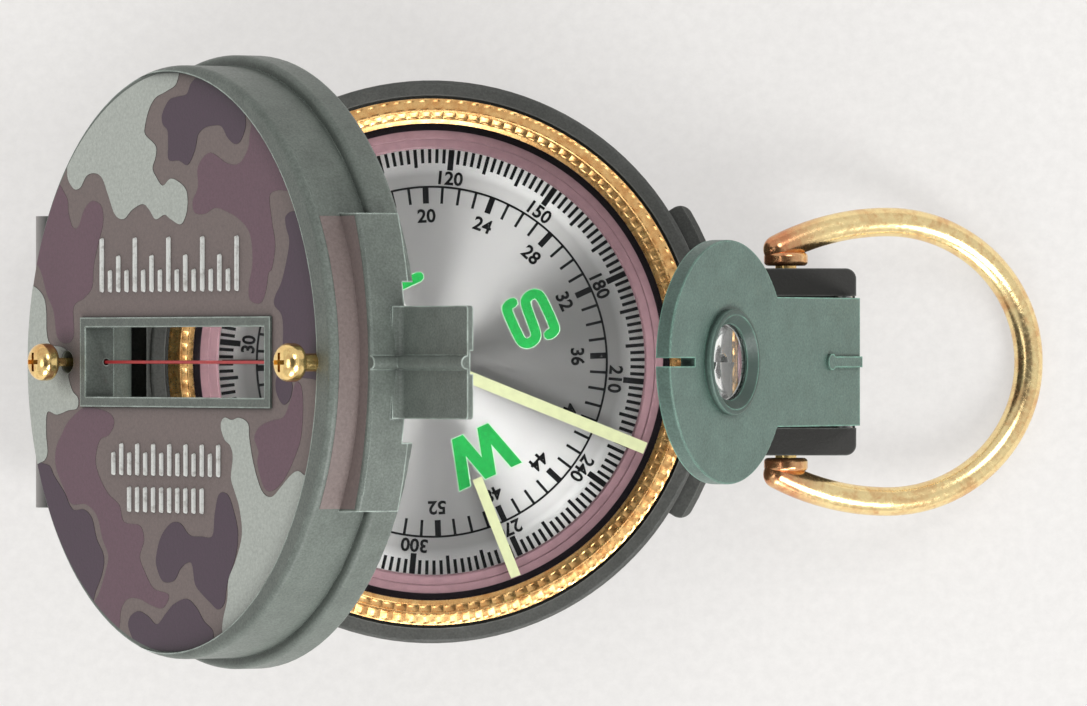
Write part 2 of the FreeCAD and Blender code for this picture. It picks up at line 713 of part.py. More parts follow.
PARTS = {
    "case_shell": case_shell,
    "lid_hinge_pin": lid_hinge_pin,
    "lens_hinge_pin": lens_hinge_pin,
    "lens_detent_spring": lens_detent_spring,
    "loop_pivot_pins": loop_pivot_pins,
    "bezel_click_spring": bezel_click_spring,
    "capsule_cup": capsule_cup,
    "pivot_post": pivot_post,
    "pivot_needle": pivot_needle,
    "fixed_crystal": fixed_crystal,
    "fixed_index_line": fixed_index_line,
    "chapter_ring": chapter_ring,
    "crystal_gasket": crystal_gasket,
    "compass_card": compass_card,
    "jewel_housing": jewel_housing,
    "jewel": jewel,
    "bar_magnet": bar_magnet,
    "bezel_ring": bezel_ring,
    "bezel_crystal": bezel_crystal,
    "bezel_retaining_ring": bezel_retaining_ring,
    "luminous_line_long": lambda: luminous_bar(0.3, 21.4, 0.55, -22.0),
    "luminous_line_short": lambda: luminous_bar(11.6, 21.4, 0.47, -68.5),
    "lid_shell": lid_shell,
    "rear_wire_post": rear_wire_post,
    "front_wire_post": front_wire_post,
    "post_nuts": post_nuts,
    "sighting_wire": sighting_wire,
    "lens_bracket": lens_bracket,
    "magnifier_lens": magnifier_lens,
    "lens_retaining_ring": lens_retaining_ring,
    "thumb_loop": thumb_loop,
}

os.makedirs("parts", exist_ok=True)
for part_name, make in PARTS.items():
    save(part_name, make())
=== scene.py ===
import math

import bmesh
import bpy
from mathutils import Matrix, Vector


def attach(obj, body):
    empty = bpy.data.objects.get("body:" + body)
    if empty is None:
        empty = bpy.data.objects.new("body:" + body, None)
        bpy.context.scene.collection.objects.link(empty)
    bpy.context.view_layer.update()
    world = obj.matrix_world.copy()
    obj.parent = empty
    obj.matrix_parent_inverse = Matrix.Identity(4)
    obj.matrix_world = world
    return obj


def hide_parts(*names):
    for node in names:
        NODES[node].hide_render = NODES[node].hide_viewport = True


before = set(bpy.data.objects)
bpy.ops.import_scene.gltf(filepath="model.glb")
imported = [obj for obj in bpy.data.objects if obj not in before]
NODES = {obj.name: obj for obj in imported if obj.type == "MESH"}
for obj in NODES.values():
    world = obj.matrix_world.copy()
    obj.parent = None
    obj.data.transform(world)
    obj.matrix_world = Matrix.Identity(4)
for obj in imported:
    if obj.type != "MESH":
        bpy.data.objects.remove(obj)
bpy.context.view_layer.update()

MM = 0.001

# Sizes shared with the CAD model, in millimetres, and two angles in degrees
CASE_TOP = 16.6
CARD_TOP = 12.3
LID_TOP = 25.9
LID_AXIS_X = -30.25
LID_AXIS_Z = 15.2
LID_OPEN = 56.6
LID_UPPER_R = 26.5
FACE_R = 26.0
FACE_CENTRE_X = -2.0
FACE_FLUSH_X = -26.0
FACE_SLOPE = 1.09
PANEL_FRONT = 28.3
PANEL_ARC_R = 38.0
PANEL_HALF_WIDTH = 13.0
# The window's two ends along X and its half width; each post's X and radius
WINDOW = (-16.53, 15.33, 4.03)
POSTS = ((-19.1, 1.05), (23.5, 0.85))

# Camera, in millimetres: straight down from far off, its height taken from the case's top
CAMERA_HEIGHT = 800.0
CAMERA_X = 10.40
CAMERA_Y = 0.82
CAMERA_LENS = 285.9
SENSOR_WIDTH = 36.0

# Where finishes and painted light and shade change, in millimetres: along X, up Z, out from the dial's
# centre or the lens's
# A painted sheen on the top of the hinge block's end, as of bright surroundings caught at a grazing
# angle
HINGE_END_SHEEN = (-35.6, -36.6)
SHEEN_HEIGHTS = (11.5, 14.0)
# Painted shade on the clevis block, where the arm shades it
CLEVIS_SHADE = (28.6, 30.6)
LOOP_END_BROWN = (37.0, 33.0)
# Painted light: the card's outer scale is painted paler from this radius to this one
CARD_EDGE_PAINTED_LIGHT = (17.4, 18.5)
LENS_BOSS_R = 4.85

# Sockets of the Mix node in its colour mode
MIX_A = 6
MIX_B = 7
MIX_RESULT = 2


# Shader helpers ---------------------------------------------------------------------------
def set_stops(color_ramp, stops):
    """Put greys or colours on a ramp at (position, colour) stops."""
    elements = color_ramp.elements
    while len(elements) < len(stops):
        elements.new(0.5)
    for element, (position, color) in zip(elements, stops):
        element.position = position
        shade = (color, color, color) if isinstance(color, (int, float)) else color
        element.color = (*shade, 1.0)


class Shader:
    """A material under construction: a Principled shader and the nodes that feed it."""

    def __init__(self, name, color, roughness, metallic=0.0):
        self.material = bpy.data.materials.new(name)
        self.material.use_nodes = True
        self.tree = self.material.node_tree
        self.nodes = self.tree.nodes
        self.nodes.clear()
        self.output = self.nodes.new("ShaderNodeOutputMaterial")
        self.bsdf = self.nodes.new("ShaderNodeBsdfPrincipled")
        self.bsdf.inputs["Base Color"].default_value = (*color, 1.0)
        self.bsdf.inputs["Roughness"].default_value = roughness
        self.bsdf.inputs["Metallic"].default_value = metallic
        self.link(self.bsdf.outputs[0], self.output.inputs["Surface"])
        self.coordinates = self.nodes.new("ShaderNodeTexCoord").outputs["Object"]

    def link(self, source, target):
        self.tree.links.new(source, target)

    def feed(self, socket, value):
        if isinstance(value, bpy.types.NodeSocket):
            self.link(value, socket)
        elif value is not None:
            socket.default_value = value

    def noise(self, scale, detail=3.0, roughness=0.55, distortion=0.0, vector=None):
        node = self.nodes.new("ShaderNodeTexNoise")
        self.link(vector or self.coordinates, node.inputs["Vector"])
        node.inputs["Scale"].default_value = scale
        node.inputs["Detail"].default_value = detail
        node.inputs["Roughness"].default_value = roughness
        node.inputs["Distortion"].default_value = distortion
        return node.outputs["Fac"]

    def ramp(self, value, *stops):
        """Map a value to greys or colours at (position, colour) stops."""
        node = self.nodes.new("ShaderNodeValToRGB")
        self.link(value, node.inputs["Fac"])
        set_stops(node.color_ramp, stops)
        return node.outputs["Color"]

    def math(self, operation, first, second=None, clamp=False):
        node = self.nodes.new("ShaderNodeMath")
        node.operation = operation
        node.use_clamp = clamp
        self.feed(node.inputs[0], first)
        self.feed(node.inputs[1], second)
        return node.outputs[0]

    def mix(self, factor, first, second, blend="MIX"):
        node = self.nodes.new("ShaderNodeMix")
        node.data_type = "RGBA"
        node.blend_type = blend
        self.feed(node.inputs["Factor"], factor)
        for index, color in ((MIX_A, first), (MIX_B, second)):
            is_socket = isinstance(color, bpy.types.NodeSocket)
            self.feed(node.inputs[index], color if is_socket else (*color, 1.0))
        return node.outputs[MIX_RESULT]

    def stretch(self, scale):
        node = self.nodes.new("ShaderNodeMapping")
        self.link(self.coordinates, node.inputs["Vector"])
        node.inputs["Scale"].default_value = scale
        return node.outputs["Vector"]

    def place(self):
        """The X, Y and Z of the point that is shaded."""
        node = self.nodes.new("ShaderNodeSeparateXYZ")
        self.link(self.coordinates, node.inputs[0])
        return node.outputs

    def radius(self):
        """Distance from the object's Z axis."""
        x, y = self.place()[:2]
        squares = self.math("ADD", self.math("MULTIPLY", x, x), self.math("MULTIPLY", y, y))
        return self.math("SQRT", squares)

    def rings(self, spacing):
        """Grooves this many millimetres apart round the object's Z axis, as a noise."""
        join = self.nodes.new("ShaderNodeCombineXYZ")
        self.link(self.radius(), join.inputs[0])
        return self.noise(1.0 / (spacing * MM), roughness=0.6, vector=join.outputs[0])

    def bump(self, height, distance):
        """Raise the surface by up to this many millimetres where the height is 1."""
        node = self.nodes.new("ShaderNodeBump")
        node.inputs["Distance"].default_value = distance * MM
        self.link(height, node.inputs["Height"])
        self.link(node.outputs["Normal"], self.bsdf.inputs["Normal"])

    def edges(self, radius):
        """1 where two faces meet within this radius in millimetres, 0 on open faces."""
        bevel = self.nodes.new("ShaderNodeBevel")
        bevel.samples = 6
        bevel.inputs["Radius"].default_value = radius * MM
        geometry = self.nodes.new("ShaderNodeNewGeometry")
        product = self.nodes.new("ShaderNodeVectorMath")
        product.operation = "DOT_PRODUCT"
        self.link(bevel.outputs["Normal"], product.inputs[0])
        self.link(geometry.outputs["Normal"], product.inputs[1])
        return self.math("SUBTRACT", 1.0, product.outputs["Value"], clamp=True)

    def nearby(self, distance):
        """0 deep in a corner between walls this many millimetres apart, 1 in the open."""
        node = self.nodes.new("ShaderNodeAmbientOcclusion")
        node.samples = 4
        node.inputs["Distance"].default_value = distance * MM
        return node.outputs["AO"]

    def around(self, centre, radius):
        """1 inside a sphere and 0 outside it, its centre in metres and its radius in millimetres."""
        node = self.nodes.new("ShaderNodeVectorMath")
        node.operation = "DISTANCE"
        self.link(self.coordinates, node.inputs[0])
        node.inputs[1].default_value = centre
        return self.math("LESS_THAN", node.outputs["Value"], radius * MM)

    def rise(self, value, start, finish):
        """0 where a value in metres is before the start, 1 past the finish, both in millimetres."""
        return self.math("MULTIPLY", self.math("SUBTRACT", value, start * MM),
                         1.0 / ((finish - start) * MM), clamp=True)

    def travel(self, axis, start, finish):
        """0 before one place along an axis, 1 past another, in millimetres."""
        return self.rise(self.place()["XYZ".index(axis)], start, finish)

    def color(self, value):
        self.feed(self.bsdf.inputs["Base Color"], value)

    def roughness(self, value):
        self.feed(self.bsdf.inputs["Roughness"], value)

    def gloss(self, value):
        self.bsdf.inputs["Specular IOR Level"].default_value = value

    def turned(self, anisotropy):
        """Stretch reflections across grooves that run round the Z axis."""
        tangent = self.nodes.new("ShaderNodeTangent")
        tangent.direction_type = "RADIAL"
        tangent.axis = "Z"
        self.link(tangent.outputs[0], self.bsdf.inputs["Tangent"])
        self.bsdf.inputs["Anisotropic"].default_value = anisotropy
        self.bsdf.inputs["Anisotropic Rotation"].default_value = 0.25


def srgb(red, green, blue):
    """A colour given as screen values 0 to 255."""
    def linear(value):
        part = value / 255.0
        return part / 12.92 if part <= 0.04045 else ((part + 0.055) / 1.055) ** 2.4

    return tuple(linear(value) for value in (red, green, blue))


def toned(color, factor):
    """A colour made darker or lighter."""
    return tuple(channel * factor for channel in color)


def painted(name, color, edge, roughness, wear_and_highlight=0.9, sheen_zone=None, shade_zone=None, boss=None):
    """Sprayed enamel on metal: orange peel, fine speckle, paler edges that are part rubbed wear and
    part painted highlight, painted shade in corners.

    The first zone, for a painted sheen, is where along X its upper part goes pale, and how pale; the
    second, for painted shade, is where along X it goes dark, and how dark; boss is the centre and
    radius of a round place half as bright.
    """
    shader = Shader(name, color, roughness)
    shader.gloss(0.35)
    mottle = shader.ramp(shader.noise(420.0, detail=5.0, roughness=0.62),
                         (0.32, toned(color, 0.86)), (0.68, toned(color, 1.1)))
    speckle = shader.ramp(shader.noise(5200.0, detail=2.0, roughness=0.6),
                          (0.3, 0.78), (0.5, 1.0), (0.74, 1.25))
    body = shader.mix(1.0, mottle, speckle, blend="MULTIPLY")
    # painted sheen: the top of the hinge block's end is painted paler
    if sheen_zone is not None:
        reach, pale = sheen_zone
        upper = shader.travel("Z", *SHEEN_HEIGHTS)
        body = shader.mix(shader.math("MULTIPLY", shader.travel("X", *reach), upper), body, pale)
    # painted shade: the clevis block under the arm is painted darker
    if shade_zone is not None:
        reach, fresh = shade_zone
        body = shader.mix(shader.travel("X", *reach), body, fresh)
    if boss is not None:
        centre, radius = boss
        body = shader.mix(shader.around(centre, radius), body, toned(color, 0.5))
    # painted shade: the enamel goes dark in corners where walls close round it
    corner_shade = shader.ramp(shader.nearby(distance=0.9), (0.45, 0.0), (0.8, 1.0))
    # paler edges: part rubbed wear, part painted highlight
    rubbed_and_lit = shader.ramp(shader.edges(radius=0.28), (0.01, 0.0), (0.12, 1.0))
    patchy = shader.ramp(shader.noise(700.0, detail=4.0, roughness=0.6), (0.35, 0.4), (0.6, 1.0))
    amount = shader.math("MULTIPLY", shader.math("MULTIPLY", rubbed_and_lit, patchy), wear_and_highlight)
    amount = shader.math("MULTIPLY", amount, corner_shade)
    shader.color(shader.mix(corner_shade, toned(color, 0.35), shader.mix(amount, body, edge)))
    peel = shader.noise(3600.0)
    shader.roughness(shader.ramp(peel, (0.3, roughness - 0.06), (0.7, roughness + 0.08)))
    shader.bump(peel, distance=0.03)
    return shader.material


def printed(name, color, reach=None):
    """Screen-printed ink: flat, a little grainy, with painted shade within reach of a wall if given."""
    shader = Shader(name, color, 0.5)
    shader.gloss(0.35)
    body = shader.ramp(shader.noise(3600.0, detail=5.0, roughness=0.7),
                       (0.32, toned(color, 0.8)), (0.68, toned(color, 1.16)))
    if reach is not None:
        # painted shade: the ink goes dark where a wall stands near it
        corner_shade = shader.ramp(shader.nearby(reach), (0.62, 0.0), (0.92, 1.0))
        body = shader.mix(corner_shade, toned(color, 0.12), body)
    shader.color(body)
    peel = shader.noise(3600.0)
    shader.roughness(shader.ramp(peel, (0.3, 0.44), (0.7, 0.58)))
    shader.bump(peel, distance=0.02)
    return shader.material


def brass(name, color, tarnish, roughness, ends=None):
    """Yellow metal with tarnish in patches, and browner towards the ends if they are given."""
    shader = Shader(name, color, roughness, metallic=1.0)
    patches = shader.ramp(shader.noise(300.0, detail=5.0, roughness=0.62, distortion=0.5),
                          (0.5, color), (0.8, tarnish))
    creases = shader.ramp(shader.noise(1500.0, detail=4.0, roughness=0.65), (0.28, 0.5), (0.5, 1.0))
    body = shader.mix(creases, tarnish, patches)
    if ends is not None:
        reach, brown = ends
        along = shader.travel("X", *reach)
        uneven = shader.ramp(shader.noise(900.0, detail=4.0, roughness=0.6), (0.3, 0.45), (0.6, 1.0))
        body = shader.mix(shader.math("MULTIPLY", along, uneven), body, brown)
    shader.color(body)
    scratches = shader.noise(2200.0, detail=4.0, roughness=0.65, distortion=0.2)
    shader.roughness(shader.ramp(scratches, (0.3, roughness - 0.07), (0.75, roughness + 0.14)))
    shader.bump(scratches, distance=0.006)
    return shader.material


def knurled_brass():
    """The bezel's brass: paler where faces meet, worn in patches."""
    shader = Shader("knurled_brass", srgb(250, 212, 146), 0.25, metallic=1.0)
    crests = shader.ramp(shader.edges(radius=0.3),
                         (0.02, srgb(244, 198, 132)), (0.5, srgb(255, 222, 162)))
    worn = shader.ramp(shader.noise(900.0, detail=4.0, roughness=0.65),
                       (0.35, srgb(206, 150, 100)), (0.62, srgb(255, 255, 255)))
    shader.color(shader.mix(0.55, crests, worn, blend="MULTIPLY"))
    scratches = shader.noise(2600.0, detail=4.0, roughness=0.65)
    shader.roughness(shader.ramp(scratches, (0.3, 0.2), (0.75, 0.4)))
    shader.bump(scratches, distance=0.006)
    return shader.material


def steel(name, color, roughness=0.3):
    """Drawn metal: fine lines across Y."""
    shader = Shader(name, color, roughness, metallic=1.0)
    lines = shader.noise(1500.0, roughness=0.5, vector=shader.stretch((1.0, 8.0, 1.0)))
    shader.roughness(shader.ramp(lines, (0.3, roughness - 0.08), (0.7, roughness + 0.1)))
    patches = shader.noise(500.0)
    shader.color(shader.ramp(patches, (0.35, toned(color, 0.8)), (0.65, color)))
    shader.bump(lines, distance=0.004)
    return shader.material


def plain(name, color, roughness=0.5, vary=0.14, gloss=0.5):
    """One colour that varies a little over the surface."""
    shader = Shader(name, color, roughness)
    shader.gloss(gloss)
    patches = shader.noise(1100.0, detail=4.0)
    shader.color(shader.ramp(patches, (0.35, toned(color, 1.0 - vary)), (0.65, color)))
    fine = shader.noise(3000.0, detail=2.0)
    shader.roughness(shader.ramp(fine, (0.3, roughness - 0.05), (0.7, roughness + 0.07)))
    shader.bump(fine, distance=0.005)
    return shader.material


def turned_metal(name, color, roughness, anisotropy, painted_light):
    """Disc turned on a lathe: fine rings that fan the light out, and painted light at its edge, a paler
    band where shade falls on its outer scale.
    """
    shader = Shader(name, color, roughness, metallic=1.0)
    grooves = shader.rings(spacing=0.05)
    # painted light: a paler colour on the outer scale stands in for light the walls keep from it
    reach, pale = painted_light
    shader.color(shader.mix(shader.rise(shader.radius(), *reach),
                            shader.ramp(grooves, (0.35, toned(color, 0.9)), (0.65, color)), pale))
    shader.roughness(shader.ramp(grooves, (0.3, roughness - 0.04), (0.7, roughness + 0.05)))
    shader.bump(grooves, distance=0.0015)
    shader.turned(anisotropy)
    return shader.material


def glass(name, tint, ior):
    """Clear pane: bends and mirrors light for sight, and lets the lamps straight through."""
    shader = Shader(name, tint, 0.0)
    shader.bsdf.inputs["Transmission Weight"].default_value = 1.0
    shader.bsdf.inputs["IOR"].default_value = ior
    smears = shader.noise(180.0, detail=4.0, roughness=0.6, distortion=0.6)
    shader.roughness(shader.ramp(smears, (0.5, 0.0), (0.85, 0.03)))
    clear = shader.nodes.new("ShaderNodeBsdfTransparent")
    clear.inputs["Color"].default_value = (*tint, 1.0)
    path = shader.nodes.new("ShaderNodeLightPath")
    choice = shader.nodes.new("ShaderNodeMixShader")
    shader.link(path.outputs["Is Shadow Ray"], choice.inputs["Fac"])
    shader.link(shader.bsdf.outputs[0], choice.inputs[1])
    shader.link(clear.outputs[0], choice.inputs[2])
    shader.link(choice.outputs[0], shader.output.inputs["Surface"])
    return shader.material


def mark_paint():
    """Patchy pale paint, as rubbing leaves it on raised marks."""
    shader = Shader("mark_paint", srgb(190, 192, 188), 0.42)
    shader.color(shader.ramp(shader.noise(1600.0, detail=4.0, roughness=0.65),
                             (0.3, srgb(172, 170, 166)), (0.5, srgb(212, 214, 210))))
    shader.bump(shader.noise(3200.0), distance=0.008)
    return shader.material


def floor_paper():
    """Pale paper that glows a little, so that it stays pale under soft lamps."""
    shader = Shader("floor", srgb(130, 129, 127), 0.75)
    shader.color(shader.ramp(shader.noise(900.0, detail=5.0, roughness=0.7),
                             (0.35, srgb(124, 123, 121)), (0.65, srgb(136, 135, 133))))
    shader.bsdf.inputs["Emission Color"].default_value = (1.0, 0.975, 0.955, 1.0)
    shader.bsdf.inputs["Emission Strength"].default_value = 0.56
    return shader.material


def dress(name, material):
    """Give a CAD node its finish."""
    mesh = NODES[name].data
    mesh.materials.clear()
    mesh.materials.append(material)


# Mesh helpers -----------------------------------------------------------------------------
def object_from(bm, name, material=None, matrix=None):
    """A mesh object from bmesh vertices given in millimetres, closed and facing outwards."""
    bmesh.ops.recalc_face_normals(bm, faces=bm.faces)
    mesh = bpy.data.meshes.new(name)
    bm.to_mesh(mesh)
    bm.free()
    if material is not None:
        mesh.materials.append(material)
    mesh.transform(Matrix.Scale(MM, 4))
    if matrix is not None:
        mesh.transform(matrix)
    made = bpy.data.objects.new(name, mesh)
    bpy.context.scene.collection.objects.link(made)
    return made


def settle(piece, body):
    """Let a piece ride on a body."""
    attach(piece, body)


def frustum(bm, base, crown, low, high):
    """A closed block from one outline at its foot to another at its top."""
    bottom = [bm.verts.new((x, y, low)) for x, y in base]
    top = [bm.verts.new((x, y, high)) for x, y in crown]
    bm.faces.new(top)
    bm.faces.new(bottom[::-1])
    for index in range(len(base)):
        after = (index + 1) % len(base)
        bm.faces.new((bottom[index], bottom[after], top[after], top[index]))


def prism(bm, outline, low, high):
    """A flat plate with this outline, between two heights."""
    frustum(bm, outline, outline, low, high)


def skin(bm, rows, closed=True):
    """Faces between each row of corners and the next, and from the last to the first if closed."""
    pairs = list(zip(rows, rows[1:]))
    if closed:
        pairs.append((rows[-1], rows[0]))
    for here, there in pairs:
        for index in range(len(here)):
            after = (index + 1) % len(here)
            bm.faces.new((here[index], there[index], there[after], here[after]))


def corner_row(bm, angle, section):
    """The corners of a (radius, height) section at one angle round the Z axis."""
    return [bm.verts.new((radius * math.cos(angle), radius * math.sin(angle), z))
            for radius, z in section]


def hoop(bm, inner, outer, low, high):
    """A flat ring round the Z axis."""
    steps = 180
    section = ((outer, low), (outer, high), (inner, high), (inner, low))
    skin(bm, [corner_row(bm, 2 * math.pi * step / steps, section) for step in range(steps)])


def rounded(points, closed=True):
    """A smooth curve through given points."""
    per_span = 5
    count = len(points)
    result = []
    for index in range(count if closed else count - 1):
        p0, p1, p2, p3 = (Vector(points[(index + offset) % count]) if closed
                          else Vector(points[min(max(index + offset, 0), count - 1)])
                          for offset in (-1, 0, 1, 2))
        for step in range(per_span):
            t = step / per_span
            spot = 0.5 * (2 * p1 + (p2 - p0) * t + (2 * p0 - 5 * p1 + 4 * p2 - p3) * t ** 2
                          + (3 * p1 - p0 - 3 * p2 + p3) * t ** 3)
            result.append((spot.x, spot.y))
    if not closed:
        result.append(tuple(points[-1]))
    return result


def stroke(points, half_width, cap_steps=6):
    """Outline of a pen stroke with round ends along a line of points."""
    # the least cosine by which a corner's mitre is lengthened
    mitre_limit = 0.45
    path = [Vector(point) for point in points]
    left, right = [], []
    for index, spot in enumerate(path):
        before = path[max(index - 1, 0)]
        after = path[min(index + 1, len(path) - 1)]
        first = (spot - before).normalized() if index else (after - spot).normalized()
        second = (after - spot).normalized() if index < len(path) - 1 else first
        heading = (first + second).normalized()
        side = Vector((-heading.y, heading.x))
        reach = half_width / max(mitre_limit, side.dot(Vector((-first.y, first.x))))
        left.append(spot + side * reach)
        right.append(spot - side * reach)

    def cap(spot, heading):
        start = math.atan2(heading.y, heading.x) + math.pi / 2
        return [spot + half_width * Vector((math.cos(start - math.pi * k / cap_steps),
                                            math.sin(start - math.pi * k / cap_steps)))
                for k in range(1, cap_steps)]

    outline = left + cap(path[-1], (path[-1] - path[-2]).normalized())
    outline += right[::-1] + cap(path[0], (path[0] - path[1]).normalized())
    return [(spot.x, spot.y) for spot in outline]


def spin(points, degrees):
    """Points turned about the origin."""
    turn = math.radians(degrees)
    return [(x * math.cos(turn) - y * math.sin(turn), x * math.sin(turn) + y * math.cos(turn))
            for x, y in points]


def lettering(bm, body, height, centre, degrees, low, high):
    """A printed number whose cap height is given, turned about its centre."""
    boldness = 0.028
    curve = bpy.data.curves.new("number", "FONT")
    curve.body = body
    curve.align_x = "CENTER"
    curve.resolution_u = 3
    curve.offset = boldness
    holder = bpy.data.objects.new("number", curve)
    bpy.context.scene.collection.objects.link(holder)
    bpy.context.view_layer.update()
    graph = bpy.context.evaluated_depsgraph_get()
    mesh = bpy.data.meshes.new_from_object(holder.evaluated_get(graph))
    bpy.data.objects.remove(holder)
    bpy.data.curves.remove(curve)
    bottom = min(vertex.co.y for vertex in mesh.vertices)
    top = max(vertex.co.y for vertex in mesh.vertices)
    middle = (top + bottom) / 2
    size = height / (top - bottom)
    mesh.transform(Matrix.Translation((centre[0], centre[1], low))
                   @ Matrix.Rotation(math.radians(degrees), 4, "Z")
                   @ Matrix.Diagonal((size, size, 1.0, 1.0)) @ Matrix.Translation((0, -middle, 0)))
    before = len(bm.faces)
    bm.from_mesh(mesh)
    bpy.data.meshes.remove(mesh)
    bm.faces.ensure_lookup_table()
    fresh = bm.faces[before:]
    lifted = bmesh.ops.extrude_face_region(bm, geom=fresh)["geom"]
    bmesh.ops.translate(bm, vec=(0, 0, high - low),
                        verts=[item for item in lifted if isinstance(item, bmesh.types.BMVert)])


def opened(slope=False):
    """Matrix from the lid modelled shut to the lid where it stands."""
    hinge = Vector((LID_AXIS_X, 0, LID_AXIS_Z)) * MM
    place = (Matrix.Translation(hinge) @ Matrix.Rotation(math.radians(-LID_OPEN), 4, "Y")
             @ Matrix.Translation(-hinge))
    if slope:
        edge = Vector((FACE_FLUSH_X, 0, LID_TOP)) * MM
        place = (place @ Matrix.Translation(edge)
                 @ Matrix.Rotation(math.radians(FACE_SLOPE), 4, "Y") @ Matrix.Translation(-edge))
    return place


# Finishes ---------------------------------------------------------------------------------
# Each enamel: its colour, its edges' colour (part wear, part painted highlight), its roughness
case_paint = painted("case_paint", srgb(75, 76, 73), srgb(118, 120, 116), 0.5, wear_and_highlight=0.7,
                     # painted sheen on the top of the hinge block's end
                     sheen_zone=(HINGE_END_SHEEN, srgb(146, 142, 140)),
                     # painted shade on the clevis block under the arm
                     shade_zone=(CLEVIS_SHADE, srgb(48, 47, 45)))
lid_paint = painted("lid_paint", srgb(94, 101, 95), srgb(188, 202, 193), 0.42)
lens_spots = [vertex.co for vertex in NODES["magnifier_lens"].data.vertices]
lens_centre = sum(lens_spots, Vector()) / len(lens_spots)
arm_paint = painted("arm_paint", srgb(82, 102, 94), srgb(126, 178, 158), 0.4,
                    boss=(lens_centre, LENS_BOSS_R))
post_brass = brass("post_brass", srgb(255, 222, 150), srgb(206, 146, 90), 0.16)
loop_brass = brass("loop_brass", srgb(255, 230, 170), srgb(216, 152, 98), 0.2,
                   ends=(LOOP_END_BROWN, srgb(214, 146, 104)))
pin_steel = steel("pin_steel", (0.42, 0.42, 0.42))
spring_steel = steel("spring_steel", (0.55, 0.55, 0.55))
luminous = plain("luminous", srgb(222, 228, 178), 0.6, vary=0.08)
mauve = plain("mauve", srgb(140, 108, 114), 0.35)
card_ink = plain("card_ink", (0.006, 0.006, 0.007), 0.6, gloss=0.12)
green_ink = printed("green_ink", srgb(12, 152, 64))
green_edge = plain("green_edge", srgb(176, 218, 184))
window_glass = glass("window_glass", (0.985, 0.99, 0.985), 1.16)
card_silver = turned_metal("card_silver", (0.56, 0.545, 0.545), 0.43, 0.98,
                           # painted light on the card's outer scale
                           painted_light=(CARD_EDGE_PAINTED_LIGHT, (0.9, 0.885, 0.885)))

FINISHES = (
    (case_paint, ("case_shell",)),
    (lid_paint, ("lid_shell",)),
    (arm_paint, ("lens_bracket",)),
    (loop_brass, ("thumb_loop",)),
    (post_brass, ("rear_wire_post", "front_wire_post", "post_nuts", "loop_pivot_pins", "pivot_post",
                  "jewel_housing", "bezel_retaining_ring")),
    (pin_steel, ("lid_hinge_pin", "lens_hinge_pin", "pivot_needle")),
    (spring_steel, ("lens_detent_spring", "bezel_click_spring", "lens_retaining_ring")),
    (window_glass, ("bezel_crystal", "fixed_crystal")),
    (glass("lens_glass", (0.95, 0.97, 0.96), 1.5), ("magnifier_lens",)),
    (mauve, ("chapter_ring",)),
    (plain("gasket", srgb(14, 8, 13), 0.6, gloss=0.1), ("crystal_gasket",)),
    (card_silver, ("compass_card",)),
    (steel("cup_copper", srgb(196, 140, 112), 0.35), ("capsule_cup",)),
    (steel("magnet_steel", (0.3, 0.3, 0.31), 0.4), ("bar_magnet",)),
    (plain("jewel_red", (0.42, 0.02, 0.05), 0.12), ("jewel",)),
    (card_ink, ("fixed_index_line",)),
    (luminous, ("luminous_line_long", "luminous_line_short")),
    (plain("wire_red", srgb(200, 60, 62), 0.35), ("sighting_wire",)),
)
for finish, node_names in FINISHES:
    for node_name in node_names:
        dress(node_name, finish)

# The rings round the dial cast no shadow, so that its scale is lit evenly out to its edge.
for node_name in ("chapter_ring", "crystal_gasket", "bezel_retaining_ring"):
    NODES[node_name].visible_shadow = False


# Bezel ------------------------------------------------------------------------------------
def knurled_bezel():
    """Turning bezel with two rows of teeth either side of a thin crest."""
    teeth = 126
    per_tooth = 10
    outer_tooth = 0.14
    inner_tooth = 0.09
    # radius, height over the case's top, which row of teeth, how deep
    section = (
        (22.9, -2.1, "", 0.0), (24.3, -2.1, "", 0.0), (24.4, -2.0, "", 0.0), (24.4, -0.02, "", 0.0),
        (24.28, 0.06, "outer", 0.25), (24.1, 0.16, "outer", 1.0), (23.9, 0.3, "outer", 1.0),
        (23.65, 0.46, "outer", 1.0), (23.48, 0.58, "outer", 0.7), (23.38, 0.68, "", 0.0),
        (23.28, 0.7, "", 0.0), (23.2, 0.66, "", 0.0), (23.12, 0.58, "inner", 0.8),
        (22.95, 0.48, "inner", 1.0), (22.78, 0.38, "inner", 1.0), (22.64, 0.3, "inner", 0.6),
        (22.56, 0.27, "", 0.0), (22.48, 0.24, "", 0.0), (22.3, 0.12, "", 0.0),
        (22.12, -0.02, "", 0.0), (22.1, -0.4, "", 0.0), (22.9, -0.4, "", 0.0),
    )
    bm = bmesh.new()
    steps = teeth * per_tooth
    rows = []
    for step in range(steps):
        phase = (step % per_tooth) / per_tooth
        peak = 1.0 - abs(2.0 * phase - 1.0)
        # outer teeth stand partly above the section, inner ones are cut wholly into it
        waves = {"": (0.0, 0.0), "outer": (outer_tooth, peak ** 1.3 - 0.8),
                 "inner": (-inner_tooth, 1.0 - peak ** 2)}
        toothed = []
        for radius, height, kind, depth in section:
            tooth, wave = waves[kind]
            toothed.append((radius, CASE_TOP + height + tooth * depth * wave))
        rows.append(corner_row(bm, 2 * math.pi * step / steps, toothed))
    skin(bm, rows)
    piece = object_from(bm, "knurled_bezel", knurled_brass())
    piece.visible_shadow = False
    settle(piece, "bezel")
    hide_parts("bezel_ring")


# Card -------------------------------------------------------------------------------------
# The card's north in degrees from X, two sizes in millimetres, and the inner scale's parts
CARD_NORTH = 204.6
INK_THICKNESS = 0.03
NUMBER_HEIGHT = 1.3
PARTS = 64


def bearing(degrees):
    """Angle on the card, from X, of a compass bearing."""
    return CARD_NORTH - degrees


